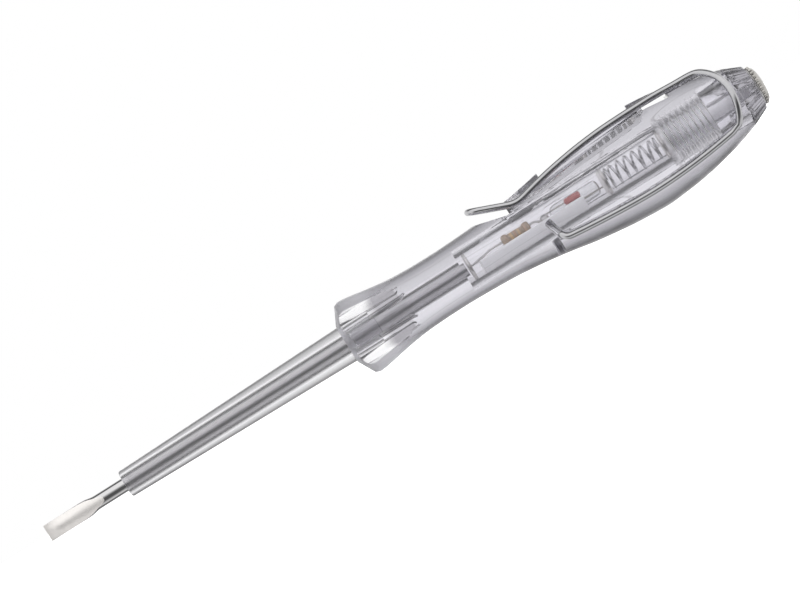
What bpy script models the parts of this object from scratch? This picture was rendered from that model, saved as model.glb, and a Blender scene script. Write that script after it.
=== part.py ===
"""Single-pole voltage tester screwdriver: a clear handle that holds a resistor, a glow lamp and a spring.

The origin is the middle of the blade's front edge. +X runs back along the tool's axis to the touch
contact, and +Z points out of the side that carries the pocket clip. Lengths are in metres.
"""
import math

import bmesh
import bpy
from mathutils import Matrix, Vector

# Blade and its sleeve
BLADE_TIP_WIDTH = 0.0030
BLADE_TIP_THICKNESS = 0.0005
BLADE_TIP_LENGTH = 0.0077
BLADE_NECK_LENGTH = 0.0023
BLADE_PARALLEL_LENGTH = 0.0030
BLADE_FLAT_LENGTH = 0.0114
SHANK_RADIUS = 0.00125
EXPOSED_LENGTH = 0.0600
SLEEVE_START = 0.0156
SLEEVE_FRONT_RADIUS = 0.00245
SLEEVE_REAR_RADIUS = 0.00330
SLEEVE_FRONT_EDGE = 0.0004
SPIGOT_RADIUS = 0.0026
SPIGOT_LENGTH = 0.0060

# Handle: outside, flutes and bores
HANDLE_LENGTH = 0.0781
BELLY_RADIUS = 0.00925
FLUTE_RISE = math.radians(30)
FLUTE_RADIUS = 0.0020
FLUTE_FLOOR_RADIUS = 0.0049
FLUTE_LENGTH = 0.0134
TAIL_REACH = 0.0008
MAIN_BORE_RADIUS = 0.0026
REAR_BORE_RADIUS = 0.00285
PLUG_FRONT_GAP = 0.0010

# Clip wire and the recess that it lies in
WIRE_RADIUS = 0.0006
LEG_SPACING = 0.0036
REAR_LEG_SPACING = 0.0046
NOSE_RISE_ANGLE = math.radians(22)
WIRE_SINK = 0.00045
SIDE_RUN_ANGLE = math.radians(-36.5)
HOOK_DEPTH = 0.0032
HOOK_TURN = math.radians(28)
HOOK_LEAN = 0.0010

# Pieces in the bore
CONTACT_DISC_THICKNESS = 0.0006
CARRIER_START_GAP = 0.0016
CARRIER_LENGTH = 0.0207
CARRIER_WALL = 0.0005
RESISTOR_LENGTH = 0.0056
RESISTOR_START_GAP = 0.0067
RESISTOR_CAP_RADIUS = 0.0011
RESISTOR_COAT_RADIUS = 0.0009
RESISTOR_CAP_LENGTH = 0.0013
RESISTOR_CAP_WALL = 0.0003
RESISTOR_RISE = 0.00055
LEAD_RADIUS = 0.0003
SOLDER_JOINT_LENGTH = 0.0016
SOLDER_JOINT_RADIUS = 0.0009
REAR_LEAD_LENGTH = 0.0024
LAMP_LENGTH = 0.0094
LAMP_RADIUS = 0.0015
LAMP_WALL = 0.0003
ELECTRODE_RADIUS = 0.00027
ELECTRODE_LENGTH = 0.0030
ELECTRODE_SPACING = 0.0011
SPRING_PLATE_THICKNESS = 0.0006
SPRING_LENGTH = 0.00985
SPRING_TURNS = 7
SPRING_WIRE_RADIUS = 0.00022

# Screw cap and touch contact
CAP_LENGTH = 0.0032
CAP_FRONT_RADIUS = 0.00565
CAP_REAR_RADIUS = 0.00415
CAP_FLUTE_COUNT = 18
CAP_FLUTE_DEPTH = 0.0002
PLUG_CORE_RADIUS = 0.00255
PLUG_LENGTH = 0.0145
PIN_RADIUS = 0.0012
PIN_REACH = 0.0005
SEAT_THICKNESS = 0.0006
THREAD_PITCH = 0.0010
THREAD_TURNS = 7.5
THREAD_HEIGHT = 0.00045
THREAD_START_GAP = 0.0006
THREAD_ROOT = 0.0001
THREAD_HALF_ANGLE = math.radians(30)
THREAD_PHASE = math.radians(2)
BUTTON_RADIUS = 0.0036
BUTTON_LENGTH = 0.0013
BUTTON_RIM_LENGTH = 0.0006
BUTTON_FACE_RADIUS = 0.0012
BUTTON_TOOTH_COUNT = 24
BUTTON_TOOTH_DEPTH = 0.0002

# Clearances
FIT_GAP = 0.0003
THREAD_GAP = 0.0002
OVERRUN = 0.0010
WELD_DISTANCE = 0.000001

# Sides of the round pieces
HANDLE_SIDES = 32
ROUND_SIDES = 20
SMALL_SIDES = 12
THREAD_STEPS = 16

# Outline of the handle: place along it as a share of its length, radius as a share of the belly
HANDLE_OUTLINE_SHARES = [
    (0.000, 0.389), (0.020, 0.715), (0.030, 0.751), (0.042, 0.746), (0.065, 0.718), (0.091, 0.678),
    (0.117, 0.643), (0.142, 0.614), (0.168, 0.595), (0.193, 0.584), (0.219, 0.577), (0.270, 0.574),
    (0.321, 0.586), (0.373, 0.608), (0.424, 0.646), (0.475, 0.701), (0.526, 0.772), (0.577, 0.854),
    (0.629, 0.917), (0.680, 0.966), (0.731, 0.994), (0.757, 1.000), (0.782, 0.988), (0.834, 0.947),
    (0.885, 0.878), (0.936, 0.783), (0.974, 0.688), (1.000, 0.616),
]

# Side view of the clip's spring arm, from its rear bend to the low bend: the same two shares
ARM_SHARES = [
    (0.9424, 0.808), (0.896, 0.830), (0.845, 0.854), (0.796, 0.854), (0.755, 0.851), (0.704, 0.838),
    (0.645, 0.795), (0.589, 0.730), (0.545, 0.662), (0.512, 0.601), (0.480, 0.535), (0.471, 0.530),
]
NOSE_LEG_LENGTH = 0.0082

# Side view of the wire's arch over the rear neck, from the top bend down to the side run
ARCH_SHARES = [
    (0.948, 0.800), (0.963, 0.726), (0.980, 0.547), (0.987, 0.345), (0.988, 0.142), (0.984, -0.075),
    (0.974, -0.303), (0.963, -0.450),
]
SIDE_RUN_SHARES = [0.945, 0.910, 0.860, 0.800, 0.740, 0.680, 0.620, 0.570, 0.530]
HOOK_SHARE = 0.521

# Floor of the recess beside the rib, from its front end to its step, and the rib's outline
RECESS_FRONT_SHARE = 0.366
RAMP_END_SHARE = 0.441
RIB_FRONT_SHARE = 0.449
RIB_LOW_START_SHARE = 0.544
RIB_LOW_END_SHARE = 0.785
RECESS_END_SHARE = 0.960
FLOOR_REAR_HEIGHT_SHARE = 0.565
SLOT_FLOOR_SHARES = [(0.812, 0.735), (0.873, 0.675)]

HANDLE_START = EXPOSED_LENGTH
HANDLE_END = HANDLE_START + HANDLE_LENGTH
FAR_SIDE = BELLY_RADIUS + OVERRUN

parts = bpy.data.collections.new("voltage_tester_screwdriver")
cutters = bpy.data.collections.new("cutters")


def clear_scene():
    for thing in list(bpy.data.objects):
        bpy.data.objects.remove(thing, do_unlink=True)
    bpy.context.scene.collection.children.link(parts)
    bpy.context.scene.collection.children.link(cutters)


def material(name, colour, roughness, metallic=0.0, alpha=1.0):
    made = bpy.data.materials.new(name)
    made.use_nodes = True
    shader = made.node_tree.nodes["Principled BSDF"]
    shader.inputs["Base Color"].default_value = (*colour, 1.0)
    shader.inputs["Roughness"].default_value = roughness
    shader.inputs["Metallic"].default_value = metallic
    shader.inputs["Alpha"].default_value = alpha
    made.diffuse_color = (*colour, alpha)
    return made


def place(name, mesh, skin=None):
    """A piece with its material, or a cutter when it has none."""
    made = bpy.data.objects.new(name, mesh)
    if skin is None:
        cutters.objects.link(made)
        made.hide_render = True
        made.display_type = "WIRE"
        return made
    parts.objects.link(made)
    mesh.materials.clear()
    mesh.materials.append(skin)
    return made


def cut(target, cutter, operation="DIFFERENCE"):
    step = target.modifiers.new(cutter.name, "BOOLEAN")
    step.operation = operation
    step.object = cutter
    step.solver = "EXACT"


def turned(name, outline, sides, skin=None, closed=True):
    """A solid turned about X from (place, radius) points, listed from front to rear along the outside.

    It starts half a side round, so that its edges miss those of the cutters that lie square to it.
    """
    mesh = bpy.data.meshes.new(name)
    half_side = math.pi / sides
    rows = [(x, radius * math.cos(half_side), radius * math.sin(half_side)) for x, radius in outline]
    edges = [(i, i + 1) for i in range(len(rows) - 1)]
    if closed:
        edges.append((len(rows) - 1, 0))
    mesh.from_pydata(rows, edges, [])
    made = place(name, mesh, skin)
    screw = made.modifiers.new("turn", "SCREW")
    screw.axis = "X"
    screw.steps = sides
    screw.render_steps = sides
    screw.use_merge_vertices = True
    screw.merge_threshold = WELD_DISTANCE
    screw.use_normal_flip = True
    screw.use_smooth_shade = True
    return made


def tube(name, points, radius, resolution=1, skin=None):
    """A round wire through the points, as a mesh with its end caps welded on."""
    curve = bpy.data.curves.new(name, "CURVE")
    curve.dimensions = "3D"
    curve.bevel_depth = radius
    curve.bevel_resolution = resolution
    curve.use_fill_caps = True
    line = curve.splines.new("POLY")
    line.points.add(len(points) - 1)
    for spot, point in zip(line.points, points):
        spot.co = (*point, 1.0)
    guide = bpy.data.objects.new(name + "_line", curve)
    bpy.context.scene.collection.objects.link(guide)
    return solid_from(guide, name, skin)


def solid_from(guide, name, skin):
    bpy.context.view_layer.update()
    evaluated = guide.evaluated_get(bpy.context.evaluated_depsgraph_get())
    mesh = bpy.data.meshes.new_from_object(evaluated)
    cage = bmesh.new()
    cage.from_mesh(mesh)
    bmesh.ops.remove_doubles(cage, verts=cage.verts, dist=WELD_DISTANCE)
    bmesh.ops.recalc_face_normals(cage, faces=cage.faces)
    cage.to_mesh(mesh)
    cage.free()
    mesh.shade_smooth()
    made = place(name, mesh, skin)
    made.matrix_world = guide.matrix_world.copy()
    bpy.data.objects.remove(guide, do_unlink=True)
    return made


def plate(name, outline, depth, middle=0.0, across="Y", skin=None):
    """A flat piece: an (x, z) outline as thick as depth along Y, or an (x, y) one along Z."""
    curve = bpy.data.curves.new(name, "CURVE")
    curve.dimensions = "2D"
    curve.fill_mode = "BOTH"
    curve.extrude = depth / 2
    line = curve.splines.new("POLY")
    line.points.add(len(outline) - 1)
    for spot, (x, z) in zip(line.points, outline):
        spot.co = (x, z, 0.0, 1.0)
    line.use_cyclic_u = True
    guide = bpy.data.objects.new(name + "_line", curve)
    bpy.context.scene.collection.objects.link(guide)
    if across == "Y":
        upright = Matrix.Rotation(math.pi / 2, 4, "X")
        guide.matrix_world = Matrix.Translation((0.0, middle, 0.0)) @ upright
    return solid_from(guide, name, skin)


def along_handle(share):
    return HANDLE_START + share * HANDLE_LENGTH


def handle_radius(x):
    """The handle's outer radius at a place along X, read from its outline."""
    share = (x - HANDLE_START) / HANDLE_LENGTH
    for (s0, r0), (s1, r1) in zip(HANDLE_OUTLINE_SHARES, HANDLE_OUTLINE_SHARES[1:]):
        if share <= s1:
            return BELLY_RADIUS * (r0 + (r1 - r0) * max(share - s0, 0.0) / (s1 - s0))
    return BELLY_RADIUS * HANDLE_OUTLINE_SHARES[-1][1]


def helix_ridge(name, base_radius, crest_radius, start, turns):
    """A V-shaped screw ridge about X, swept from one triangle; its root lies inside the base radius."""
    cage = bmesh.new()
    root = base_radius - THREAD_ROOT
    foot = thread_foot(root, crest_radius)
    corners = [(start - foot, root), (start, crest_radius), (start + foot, root)]
    across = Vector((0.0, math.cos(THREAD_PHASE), math.sin(THREAD_PHASE)))
    face = cage.faces.new([cage.verts.new(across * radius + Vector((x, 0.0, 0.0))) for x, radius in corners])
    steps = round(turns * THREAD_STEPS)
    bmesh.ops.spin(
        cage,
        geom=[face],
        cent=(0.0, 0.0, 0.0),
        axis=(1.0, 0.0, 0.0),
        dvec=(THREAD_PITCH / THREAD_STEPS, 0.0, 0.0),
        angle=steps * math.tau / THREAD_STEPS,
        steps=steps,
        use_merge=False,
    )
    bmesh.ops.remove_doubles(cage, verts=cage.verts, dist=WELD_DISTANCE)
    bmesh.ops.recalc_face_normals(cage, faces=cage.faces)
    mesh = bpy.data.meshes.new(name)
    cage.to_mesh(mesh)
    cage.free()
    return place(name, mesh)


def thread_foot(root, crest):
    """Half the width of the thread's V at its root."""
    return (crest - root) * math.tan(THREAD_HALF_ANGLE)


def loft(name, rings, skin=None):
    """A closed solid through rings of equally many points, for a shape whose section changes along it."""
    cage = bmesh.new()
    rows = [[cage.verts.new(point) for point in ring] for ring in rings]
    for near, far in zip(rows, rows[1:]):
        for i in range(len(near)):
            j = (i + 1) % len(near)
            cage.faces.new((near[i], near[j], far[j], far[i]))
    cage.faces.new(rows[0])
    cage.faces.new(rows[-1])
    bmesh.ops.recalc_face_normals(cage, faces=cage.faces)
    mesh = bpy.data.meshes.new(name)
    cage.to_mesh(mesh)
    cage.free()
    mesh.shade_smooth()
    return place(name, mesh, skin)


def ripple(made, count, depth, front, rear, least_radius):
    """Press every second point of a turned piece inwards, which leaves flutes or teeth round it."""
    bpy.context.view_layer.update()
    evaluated = made.evaluated_get(bpy.context.evaluated_depsgraph_get())
    mesh = bpy.data.meshes.new_from_object(evaluated)
    for point in mesh.vertices:
        radius = math.hypot(point.co.y, point.co.z)
        turn = math.floor(math.atan2(point.co.z, point.co.y) * 2 * count / math.tau)
        if front <= point.co.x <= rear and radius > least_radius and turn % 2:
            point.co.y *= 1 - depth / radius
            point.co.z *= 1 - depth / radius
    made.modifiers.clear()
    made.data = mesh


def mirror_across(made):
    """The same shape again on the other side of the plane Y = 0."""
    copy = made.modifiers.new("other_side", "MIRROR")
    copy.use_axis = (False, True, False)
    copy.use_mirror_merge = False


def blade(skin):
    """The steel rod: its front end is spread to the tip's width and ground flat on both sides."""
    half_tip = BLADE_TIP_THICKNESS / 2
    spread = BLADE_TIP_WIDTH / 2 / math.sqrt(1 - (half_tip / SHANK_RADIUS) ** 2)
    neck_steps = 4
    stations = [(0.0, spread)]
    for step in range(neck_steps + 1):
        share = step / neck_steps
        ease = (1 - math.cos(math.pi * share)) / 2
        place_along = BLADE_TIP_LENGTH + share * BLADE_NECK_LENGTH
        stations.append((place_along, spread + (SHANK_RADIUS - spread) * ease))
    stations.append((tail_end(), SHANK_RADIUS))
    rings = []
    for x, half_width in stations:
        ring = []
        for side in range(ROUND_SIDES):
            angle = math.tau * side / ROUND_SIDES
            ring.append((x, SHANK_RADIUS * math.cos(angle), half_width * math.sin(angle)))
        rings.append(ring)
    rod = loft("blade", rings, skin)

    grind_steps = 6
    grind = [(-OVERRUN, half_tip)]
    for step in range(grind_steps + 1):
        share = step / grind_steps
        x = BLADE_PARALLEL_LENGTH + share * (BLADE_FLAT_LENGTH - BLADE_PARALLEL_LENGTH)
        grind.append((x, half_tip + (SHANK_RADIUS - half_tip) * share ** 2))
    grind += [(BLADE_FLAT_LENGTH, SHANK_RADIUS + OVERRUN), (-OVERRUN, SHANK_RADIUS + OVERRUN)]
    wheel = plate("blade_grind", grind, 2 * (spread + OVERRUN), across="Z")
    mirror_across(wheel)
    cut(rod, wheel)


def blade_sleeve(skin):
    """Clear insulating tube over the rod, with a spigot that goes into the handle."""
    shoulder = EXPOSED_LENGTH - FIT_GAP
    end = HANDLE_START + SPIGOT_LENGTH
    bore = SHANK_RADIUS + FIT_GAP
    turned(
        "blade_sleeve",
        [(SLEEVE_START, bore), (SLEEVE_START, SLEEVE_FRONT_RADIUS - SLEEVE_FRONT_EDGE),
         (SLEEVE_START + SLEEVE_FRONT_EDGE, SLEEVE_FRONT_RADIUS), (shoulder, SLEEVE_REAR_RADIUS),
         (shoulder, SPIGOT_RADIUS), (end, SPIGOT_RADIUS), (end, bore)],
        ROUND_SIDES, skin,
    )


def arm_point(share, height_share):
    return along_handle(share), height_share * BELLY_RADIUS


def arm_height(share):
    """Height of the spring arm's middle over the axis at a place along the handle."""
    for (s1, h1), (s0, h0) in zip(ARM_SHARES, ARM_SHARES[1:]):
        if share >= s0:
            return BELLY_RADIUS * (h0 + (h1 - h0) * (min(share, s1) - s0) / (s1 - s0))
    return BELLY_RADIUS * ARM_SHARES[-1][1]


def side_run(side):
    """The wire's run along one flank, from the arch to the hook that goes into the handle."""
    points = []
    for share in SIDE_RUN_SHARES + [HOOK_SHARE]:
        x = along_handle(share)
        radius = handle_radius(x) + WIRE_RADIUS + FIT_GAP - WIRE_SINK
        points.append(on_flank(x, radius, SIDE_RUN_ANGLE, side))
    points.append(on_flank(x - HOOK_LEAN, radius - HOOK_DEPTH, SIDE_RUN_ANGLE + HOOK_TURN, side))
    return points


def on_flank(x, radius, angle, side):
    return Vector((x, side * radius * math.cos(angle), radius * math.sin(angle)))


def arch(side):
    """The wire's bow over the rear neck on one side, outside the handle by the fit gap."""
    points = []
    for share, height_share in ARCH_SHARES[1:]:
        x, height = arm_point(share, height_share)
        radius = handle_radius(x) + WIRE_RADIUS + FIT_GAP
        points.append(Vector((x, side * math.sqrt(radius ** 2 - height ** 2), height)))
    return points


def handle_body(skin):
    """Clear turned handle with its bores, cut for the flutes, the clip and the cap's thread."""
    shank_bore = SHANK_RADIUS + FIT_GAP
    spigot_bore = SPIGOT_RADIUS + FIT_GAP
    spigot_end = HANDLE_START + SPIGOT_LENGTH + FIT_GAP
    main_start = tail_end() - TAIL_REACH
    rear_start = plug_front() - PLUG_FRONT_GAP
    outside = [(along_handle(share), radius * BELLY_RADIUS) for share, radius in HANDLE_OUTLINE_SHARES]
    bores = [
        (HANDLE_END, REAR_BORE_RADIUS), (rear_start, REAR_BORE_RADIUS), (rear_start, MAIN_BORE_RADIUS),
        (main_start, MAIN_BORE_RADIUS), (main_start, shank_bore), (spigot_end, shank_bore),
        (spigot_end, spigot_bore), (HANDLE_START, spigot_bore),
    ]
    body = turned("handle_body", outside + bores, HANDLE_SIDES, skin)
    cut(body, flute_cutters())
    for cutter in recess_cutters():
        cut(body, cutter)
    for side, name in ((-1, "near_groove"), (1, "far_groove")):
        cut(body, tube(name, arch(side)[-1:] + side_run(side), WIRE_RADIUS + FIT_GAP))
    cut(body, thread_groove())


def flute_cutters():
    """Round-ended bars for the flutes of the front grip: one above and one below the middle of each flank."""
    middle = FLUTE_FLOOR_RADIUS + FLUTE_RADIUS
    front = HANDLE_START - OVERRUN
    end = HANDLE_START + FLUTE_LENGTH
    dome_steps = 3
    outline = [(front, 0.0), (front, FLUTE_RADIUS)]
    for step in range(dome_steps + 1):
        angle = math.pi / 2 * step / dome_steps
        x = end - FLUTE_RADIUS + FLUTE_RADIUS * math.sin(angle)
        outline.append((x, FLUTE_RADIUS * math.cos(angle) if step < dome_steps else 0.0))
    bar = turned("flute_bar", outline, SMALL_SIDES, closed=False)
    bpy.context.view_layer.update()
    shape = bpy.data.meshes.new_from_object(bar.evaluated_get(bpy.context.evaluated_depsgraph_get()))
    cage = bmesh.new()
    flute_turns = [side * (math.pi / 2 - level * FLUTE_RISE) for side in (-1, 1) for level in (-1, 1)]
    for flute_turn in flute_turns:
        before = set(cage.verts)
        cage.from_mesh(shape)
        fresh = [point for point in cage.verts if point not in before]
        turn = Matrix.Rotation(flute_turn, 4, "X")
        bmesh.ops.transform(cage, matrix=turn @ Matrix.Translation((0.0, 0.0, middle)), verts=fresh)
    mesh = bpy.data.meshes.new("flutes")
    cage.to_mesh(mesh)
    cage.free()
    bpy.data.objects.remove(bar, do_unlink=True)
    return place("flutes", mesh)


def recess_cutters():
    """The recess on the clip side, which leaves a rib between the wire's legs, and the rib's slot."""
    rib_half = LEG_SPACING / 2 - WIRE_RADIUS - FIT_GAP
    under_wire = WIRE_RADIUS + FIT_GAP
    front_x = along_handle(RECESS_FRONT_SHARE)
    ramp_x = along_handle(RAMP_END_SHARE)
    floor = ARM_SHARES[-1][1] * BELLY_RADIUS - under_wire
    slope = (handle_radius(front_x) - floor) / (ramp_x - front_x)
    rear_floor = FLOOR_REAR_HEIGHT_SHARE * BELLY_RADIUS
    slot_floor = [arm_point(*shares) for shares in SLOT_FLOOR_SHARES]
    ledge = [(along_handle(share), arm_height(share) - under_wire)
             for share in (SLOT_FLOOR_SHARES[-1][0], RECESS_END_SHARE)]
    outline = [(front_x - OVERRUN, handle_radius(front_x) + slope * OVERRUN), (ramp_x, floor)]
    outline += [(along_handle(ARM_SHARES[-3][0]), floor), (along_handle(RIB_LOW_END_SHARE), rear_floor)]
    outline += slot_floor + ledge
    outline += [(ledge[-1][0], FAR_SIDE), (front_x - OVERRUN, FAR_SIDE)]
    recess = plate("recess", outline, 2 * FAR_SIDE)

    low_shares = [RIB_LOW_START_SHARE]
    low_shares += sorted(share for share, _ in ARM_SHARES if RIB_LOW_START_SHARE < share < RIB_LOW_END_SHARE)
    low_shares.append(RIB_LOW_END_SHARE)
    low = [(along_handle(share), arm_height(share)) for share in low_shares]
    top = FAR_SIDE + OVERRUN
    rib_front = along_handle(RIB_FRONT_SHARE)
    rib_end = ledge[-1][0] + OVERRUN
    rib_outline = [(rib_front, floor - OVERRUN), (rib_end, floor - OVERRUN), (rib_end, top)]
    rib_outline += [(low[-1][0], top), *reversed(low), (low[0][0], top), (rib_front, top)]
    cut(recess, plate("rib", rib_outline, 2 * rib_half))

    sill = FIT_GAP / 2
    slot_outline = [(x, z + sill) for x, z in slot_floor]
    slot_outline += [(x, arm_height(share) - WIRE_RADIUS)
                     for (x, _), (share, _) in zip(reversed(slot_floor), reversed(SLOT_FLOOR_SHARES))]
    return recess, plate("rib_slot", slot_outline, 2 * rib_half + FIT_GAP)


def thread_start():
    """Where the crest of the plug's thread begins."""
    foot = thread_foot(PLUG_CORE_RADIUS - THREAD_ROOT, PLUG_CORE_RADIUS + THREAD_HEIGHT)
    return plug_front() + THREAD_START_GAP + foot


def thread_groove():
    """The thread in the rear bore: the same helix, one turn longer in front and out through the end."""
    start = thread_start() - THREAD_PITCH
    crest = PLUG_CORE_RADIUS + THREAD_HEIGHT + THREAD_GAP
    turns = (HANDLE_END + THREAD_PITCH - start) / THREAD_PITCH
    return helix_ridge("thread_groove", REAR_BORE_RADIUS, crest, start, turns)


def cap_front():
    return HANDLE_END + FIT_GAP


def plug_front():
    return cap_front() - PLUG_LENGTH


def seat_front():
    """Front of the spring seat, which the contact pin presses on."""
    return plug_front() - PIN_REACH - FIT_GAP - SEAT_THICKNESS


def spring_front():
    return seat_front() - FIT_GAP - SPRING_LENGTH


def disc_front():
    """Front of the contact disc at the blade's tail: the resistor and the lamp lie behind it."""
    resistor_run = RESISTOR_START_GAP + RESISTOR_LENGTH + FIT_GAP + REAR_LEAD_LENGTH
    lamp_run = (FIT_GAP + SOLDER_JOINT_LENGTH) / 2 + FIT_GAP + LAMP_LENGTH + 2 * FIT_GAP
    plate_run = FIT_GAP + SPRING_PLATE_THICKNESS + FIT_GAP
    return spring_front() - plate_run - lamp_run - resistor_run - CONTACT_DISC_THICKNESS


def tail_end():
    """Where the blade's rod ends inside the handle, just short of the contact disc."""
    return disc_front() - FIT_GAP


def end_cap(skin):
    """Clear screw cap: a fluted cone behind the handle, and a threaded plug in its rear bore."""
    front = plug_front()
    end = cap_front() + CAP_LENGTH
    hole = PIN_RADIUS + FIT_GAP
    cap = turned(
        "end_cap",
        [(front, hole), (front, PLUG_CORE_RADIUS), (cap_front(), PLUG_CORE_RADIUS),
         (cap_front(), CAP_FRONT_RADIUS), (end, CAP_REAR_RADIUS), (end, hole)],
        2 * CAP_FLUTE_COUNT, skin,
    )
    ripple(cap, CAP_FLUTE_COUNT, CAP_FLUTE_DEPTH, cap_front(), end, PLUG_CORE_RADIUS + FIT_GAP)
    crest = PLUG_CORE_RADIUS + THREAD_HEIGHT
    ridge = helix_ridge("cap_thread", PLUG_CORE_RADIUS, crest, thread_start(), THREAD_TURNS)
    cut(cap, ridge, "UNION")


def touch_contact(skin):
    """Nickel button behind the cap with a toothed rim, and the pin that joins it to the spring."""
    front = cap_front() + CAP_LENGTH + FIT_GAP
    rim_end = front + BUTTON_RIM_LENGTH / 2
    end = front + BUTTON_LENGTH
    dome_steps = 4
    outline = [(front, 0.0), (front, BUTTON_RADIUS), (rim_end, BUTTON_RADIUS)]
    for step in range(1, dome_steps + 1):
        share = step / dome_steps
        radius = BUTTON_RADIUS + (BUTTON_FACE_RADIUS - BUTTON_RADIUS) * share
        outline.append((rim_end + (end - rim_end) * math.sin(math.pi / 2 * share), radius))
    outline.append((end, 0.0))
    button = turned("contact_button", outline, 2 * BUTTON_TOOTH_COUNT, skin, closed=False)
    ripple(button, BUTTON_TOOTH_COUNT, BUTTON_TOOTH_DEPTH, front, rim_end, BUTTON_RADIUS / 2)

    pin_front = seat_front() + SEAT_THICKNESS + FIT_GAP
    pin_end = front - FIT_GAP
    turned(
        "contact_pin",
        [(pin_front, 0.0), (pin_front, PIN_RADIUS), (pin_end, PIN_RADIUS), (pin_end, 0.0)],
        SMALL_SIDES, skin, closed=False,
    )


def clip_wires(skin):
    """One bent wire: a hairpin arm over the recess, and a bow on each side that hooks into the handle."""
    rear_share, rear_height = ARM_SHARES[0]
    legs = []
    for share, height_share in ARM_SHARES:
        x, height = arm_point(share, height_share)
        splay_share = SLOT_FLOOR_SHARES[-1][0]
        spread = max(share - splay_share, 0.0) / (rear_share - splay_share)
        half = (LEG_SPACING + (REAR_LEG_SPACING - LEG_SPACING) * spread) / 2
        legs.append((x, half, height))
    legs[0] = (legs[0][0] - FIT_GAP / 2, legs[0][1], legs[0][2])
    bend = legs[-1]
    half = LEG_SPACING / 2
    forward = Vector((-math.cos(NOSE_RISE_ANGLE), 0.0, math.sin(NOSE_RISE_ANGLE)))
    centre = Vector((bend[0], 0.0, bend[2])) + forward * (NOSE_LEG_LENGTH - half)
    nose_steps = 6
    nose = []
    for step in range(nose_steps + 1):
        angle = math.pi * step / nose_steps
        nose.append(centre + forward * half * math.sin(angle) - Vector((0.0, half * math.cos(angle), 0.0)))
    near = [Vector((x, -half_y, z)) for x, half_y, z in legs]
    far = [Vector((x, half_y, z)) for x, half_y, z in reversed(legs)]
    tube("clip_arm", near + nose + far, WIRE_RADIUS, 1, skin)

    x, height = arm_point(*ARCH_SHARES[0])
    hinge_x, hinge_height = arm_point(rear_share, rear_height)
    for side, name in ((-1, "clip_bow_near"), (1, "clip_bow_far")):
        start = Vector((hinge_x + FIT_GAP / 2, side * REAR_LEG_SPACING / 2, hinge_height))
        shoulder = Vector((x, side * REAR_LEG_SPACING / 2, height))
        tube(name, [start, shoulder] + arch(side) + side_run(side), WIRE_RADIUS, 1, skin)


def bore_disc(name, front, thickness, skin):
    """A flat contact disc that fits the main bore."""
    radius = MAIN_BORE_RADIUS - FIT_GAP
    rear = front + thickness
    outline = [(front, 0.0), (front, radius), (rear, radius), (rear, 0.0)]
    turned(name, outline, ROUND_SIDES, skin, closed=False)


def component_carrier(skin):
    """Milky half-round trough in the lower half of the bore, which the resistor and the lamp lie in."""
    outer = MAIN_BORE_RADIUS - FIT_GAP
    inner = outer - CARRIER_WALL
    front = disc_front() + CONTACT_DISC_THICKNESS + CARRIER_START_GAP
    rear = front + CARRIER_LENGTH
    trough = turned("component_carrier", [(front, inner), (front, outer), (rear, outer), (rear, inner)],
                    ROUND_SIDES, skin)
    ends = (front - OVERRUN, rear + OVERRUN)
    upper_half = [(ends[0], 0.0), (ends[1], 0.0), (ends[1], FAR_SIDE), (ends[0], FAR_SIDE)]
    cut(trough, plate("carrier_upper_half", upper_half, 2 * FAR_SIDE))


def resistor(ceramic, metal, wire_metal):
    """Coated resistor with a cap and a lead at each end; returns where its rear lead ends."""
    lead_front = disc_front() + CONTACT_DISC_THICKNESS + FIT_GAP
    front = disc_front() + CONTACT_DISC_THICKNESS + RESISTOR_START_GAP
    end = front + RESISTOR_LENGTH
    core = RESISTOR_CAP_RADIUS - RESISTOR_CAP_WALL - FIT_GAP
    inner = RESISTOR_CAP_RADIUS - RESISTOR_CAP_WALL
    inside = RESISTOR_CAP_WALL + FIT_GAP
    coat_front = front + RESISTOR_CAP_LENGTH + FIT_GAP
    coat_end = end - RESISTOR_CAP_LENGTH - FIT_GAP
    lift = (0.0, 0.0, RESISTOR_RISE)
    body = turned(
        "resistor_body",
        [(front + inside, 0.0), (front + inside, core), (coat_front, core),
         (coat_front, RESISTOR_COAT_RADIUS), (coat_end, RESISTOR_COAT_RADIUS), (coat_end, core),
         (end - inside, core), (end - inside, 0.0)],
        SMALL_SIDES, ceramic, closed=False,
    )
    body.location = lift
    for name, base, way in (("resistor_cap_front", front, 1), ("resistor_cap_rear", end, -1)):
        outline = [
            (base, 0.0), (base, RESISTOR_CAP_RADIUS),
            (base + way * RESISTOR_CAP_LENGTH, RESISTOR_CAP_RADIUS),
            (base + way * RESISTOR_CAP_LENGTH, inner), (base + way * RESISTOR_CAP_WALL, inner),
            (base + way * RESISTOR_CAP_WALL, 0.0),
        ]
        cap = turned(name, outline[::way], SMALL_SIDES, metal, closed=False)
        cap.location = lift

    lead_run = (front - lead_front) / 3
    tube("resistor_lead_front",
         [(lead_front, 0.0, 0.0), (lead_front + lead_run, 0.0, 0.0), (front - lead_run, 0.0, RESISTOR_RISE),
          (front - FIT_GAP, 0.0, RESISTOR_RISE)], LEAD_RADIUS, 1, wire_metal)
    lead_end = end + FIT_GAP + REAR_LEAD_LENGTH
    tube("resistor_lead_rear",
         [(end + FIT_GAP, 0.0, RESISTOR_RISE), (end + FIT_GAP + REAR_LEAD_LENGTH / 4, 0.0, RESISTOR_RISE),
          (lead_end - REAR_LEAD_LENGTH / 3, 0.0, 0.0), (lead_end, 0.0, 0.0)], LEAD_RADIUS, 1, wire_metal)
    return lead_end


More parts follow.
